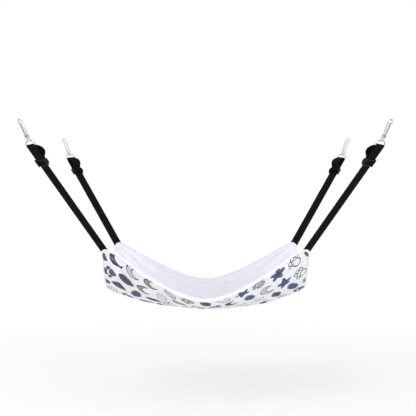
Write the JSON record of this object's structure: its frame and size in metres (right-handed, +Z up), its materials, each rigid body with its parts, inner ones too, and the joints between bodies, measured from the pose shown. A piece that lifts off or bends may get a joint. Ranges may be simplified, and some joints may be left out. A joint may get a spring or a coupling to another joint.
{
  "type": "cat hammock",
  "caption": "Padded mat with a print below and plush above, hung by its corners from adjustable webbing straps that end in swivel snap hooks, as a bed for a cat.",
  "frame": {"origin": "midway between the bearing faces of the hooks, so that the mat hangs below zero", "axes": "+X along the mat, +Y across it towards the rear, +Z up"},
  "size_m": [0.8606, 0.7412, 0.4637],
  "materials": {
    "printed_cotton": "woven cotton, printed",
    "polyester_wadding": "soft fibre sheet",
    "plush": "short soft pile",
    "black_webbing": "ribbed woven tape",
    "black_plastic": "moulded, satin",
    "nickel": "nickel plate, bright",
    "spring_steel": "bare wire"
  },
  "bodies": {
    "mat": {"printed_cover": "printed_cotton", "wadding": "polyester_wadding", "plush_liner": "plush", "strap_front_left": "black_webbing", "strap_front_right": "black_webbing", "strap_rear_left": "black_webbing", "strap_rear_right": "black_webbing"},
    "loop_front_left": {"strap_fold_front_left": "black_webbing", "strap_return_front_left": "black_webbing"},
    "loop_front_right": {"strap_fold_front_right": "black_webbing", "strap_return_front_right": "black_webbing"},
    "loop_rear_left": {"strap_fold_rear_left": "black_webbing", "strap_return_rear_left": "black_webbing"},
    "loop_rear_right": {"strap_fold_rear_right": "black_webbing", "strap_return_rear_right": "black_webbing"},
    "slider_front_left": {"slider_front_left": "black_plastic"},
    "slider_front_right": {"slider_front_right": "black_plastic"},
    "slider_rear_left": {"slider_rear_left": "black_plastic"},
    "slider_rear_right": {"slider_rear_right": "black_plastic"},
    "eye_front_left": {"eye_front_left": "nickel"},
    "eye_front_right": {"eye_front_right": "nickel"},
    "eye_rear_left": {"eye_rear_left": "nickel"},
    "eye_rear_right": {"eye_rear_right": "nickel"},
    "hook_front_left": {"hook_front_left": "nickel", "gate_pin_front_left": "nickel", "gate_spring_front_left": "spring_steel"},
    "hook_front_right": {"hook_front_right": "nickel", "gate_pin_front_right": "nickel", "gate_spring_front_right": "spring_steel"},
    "hook_rear_left": {"hook_rear_left": "nickel", "gate_pin_rear_left": "nickel", "gate_spring_rear_left": "spring_steel"},
    "hook_rear_right": {"hook_rear_right": "nickel", "gate_pin_rear_right": "nickel", "gate_spring_rear_right": "spring_steel"},
    "gate_front_left": {"gate_front_left": "nickel"},
    "gate_front_right": {"gate_front_right": "nickel"},
    "gate_rear_left": {"gate_rear_left": "nickel"},
    "gate_rear_right": {"gate_rear_right": "nickel"}
  },
  "joints": [
    {"name": "strap_adjust_front_left", "type": "slide", "parent": "mat", "child": "loop_front_left", "axis": [0.4688, 0.4659, -0.7504], "range_m": [0, 0.13], "deforming": ["strap_front_left", "strap_return_front_left"]},
    {"name": "strap_adjust_front_right", "type": "slide", "parent": "mat", "child": "loop_front_right", "axis": [-0.4688, 0.4659, -0.7504], "range_m": [0, 0.13], "deforming": ["strap_front_right", "strap_return_front_right"]},
    {"name": "strap_adjust_rear_left", "type": "slide", "parent": "mat", "child": "loop_rear_left", "axis": [0.4688, -0.4659, -0.7504], "range_m": [0, 0.13], "deforming": ["strap_rear_left", "strap_return_rear_left"]},
    {"name": "strap_adjust_rear_right", "type": "slide", "parent": "mat", "child": "loop_rear_right", "axis": [-0.4688, -0.4659, -0.7504], "range_m": [0, 0.13], "deforming": ["strap_rear_right", "strap_return_rear_right"]},
    {"name": "slider_slide_front_left", "type": "slide", "parent": "loop_front_left", "child": "slider_front_left", "axis": [0.4688, 0.4659, -0.7504], "range_m": [0, 0.13], "deforming": ["strap_front_left", "strap_return_front_left"]},
    {"name": "slider_slide_front_right", "type": "slide", "parent": "loop_front_right", "child": "slider_front_right", "axis": [-0.4688, 0.4659, -0.7504], "range_m": [0, 0.13], "deforming": ["strap_front_right", "strap_return_front_right"]},
    {"name": "slider_slide_rear_left", "type": "slide", "parent": "loop_rear_left", "child": "slider_rear_left", "axis": [0.4688, -0.4659, -0.7504], "range_m": [0, 0.13], "deforming": ["strap_rear_left", "strap_return_rear_left"]},
    {"name": "slider_slide_rear_right", "type": "slide", "parent": "loop_rear_right", "child": "slider_rear_right", "axis": [-0.4688, -0.4659, -0.7504], "range_m": [0, 0.13], "deforming": ["strap_rear_right", "strap_return_rear_right"]},
    {"name": "eye_hinge_front_left", "type": "hinge", "parent": "loop_front_left", "child": "eye_front_left", "pos_m": [-0.40175, -0.34646, -0.05679], "axis": [-0.7844, 0.6103, -0.1111], "range_deg": [-150, 90]},
    {"name": "eye_hinge_front_right", "type": "hinge", "parent": "loop_front_right", "child": "eye_front_right", "pos_m": [0.40175, -0.34646, -0.05679], "axis": [-0.7844, -0.6103, 0.1111], "range_deg": [-150, 90]},
    {"name": "eye_hinge_rear_left", "type": "hinge", "parent": "loop_rear_left", "child": "eye_rear_left", "pos_m": [-0.40175, 0.34646, -0.05679], "axis": [0.7844, 0.6103, 0.1111], "range_deg": [-150, 90]},
    {"name": "eye_hinge_rear_right", "type": "hinge", "parent": "loop_rear_right", "child": "eye_rear_right", "pos_m": [0.40175, 0.34646, -0.05679], "axis": [0.7844, -0.6103, -0.1111], "range_deg": [-150, 90]},
    {"name": "swivel_front_left", "type": "hinge", "parent": "eye_front_left", "child": "hook_front_left", "pos_m": [-0.40659, -0.35052, -0.04497], "axis": [-0.361, -0.3035, 0.8818], "continuous": true},
    {"name": "swivel_front_right", "type": "hinge", "parent": "eye_front_right", "child": "hook_front_right", "pos_m": [0.40659, -0.35052, -0.04497], "axis": [0.361, -0.3035, 0.8818], "continuous": true},
    {"name": "swivel_rear_left", "type": "hinge", "parent": "eye_rear_left", "child": "hook_rear_left", "pos_m": [-0.40659, 0.35052, -0.04497], "axis": [-0.361, 0.3035, 0.8818], "continuous": true},
    {"name": "swivel_rear_right", "type": "hinge", "parent": "eye_rear_right", "child": "hook_rear_right", "pos_m": [0.40659, 0.35052, -0.04497], "axis": [0.361, 0.3035, 0.8818], "continuous": true},
    {"name": "gate_hinge_front_left", "type": "hinge", "parent": "hook_front_left", "child": "gate_front_left", "pos_m": [-0.41195, -0.35173, -0.03715], "axis": [0.5044, 0.7317, 0.4584], "range_deg": [0, 9], "stiffness_Nm_per_rad": 0.03, "springref_deg": -34.38, "deforming": ["gate_spring_front_left"]},
    {"name": "gate_hinge_front_right", "type": "hinge", "parent": "hook_front_right", "child": "gate_front_right", "pos_m": [0.41195, -0.35173, -0.03715], "axis": [0.5044, -0.7317, -0.4584], "range_deg": [0, 9], "stiffness_Nm_per_rad": 0.03, "springref_deg": -34.38, "deforming": ["gate_spring_front_right"]},
    {"name": "gate_hinge_rear_left", "type": "hinge", "parent": "hook_rear_left", "child": "gate_rear_left", "pos_m": [-0.41195, 0.35173, -0.03715], "axis": [-0.5044, 0.7317, -0.4584], "range_deg": [0, 9], "stiffness_Nm_per_rad": 0.03, "springref_deg": -34.38, "deforming": ["gate_spring_rear_left"]},
    {"name": "gate_hinge_rear_right", "type": "hinge", "parent": "hook_rear_right", "child": "gate_rear_right", "pos_m": [0.41195, 0.35173, -0.03715], "axis": [-0.5044, -0.7317, 0.4584], "range_deg": [0, 9], "stiffness_Nm_per_rad": 0.03, "springref_deg": -34.38, "deforming": ["gate_spring_rear_right"]}
  ],
  "couplings": [
    {"joint": "slider_slide_front_left", "follows": "strap_adjust_front_left", "ratio": 1},
    {"joint": "slider_slide_front_right", "follows": "strap_adjust_front_right", "ratio": 1},
    {"joint": "slider_slide_rear_left", "follows": "strap_adjust_rear_left", "ratio": 1},
    {"joint": "slider_slide_rear_right", "follows": "strap_adjust_rear_right", "ratio": 1}
  ]
}
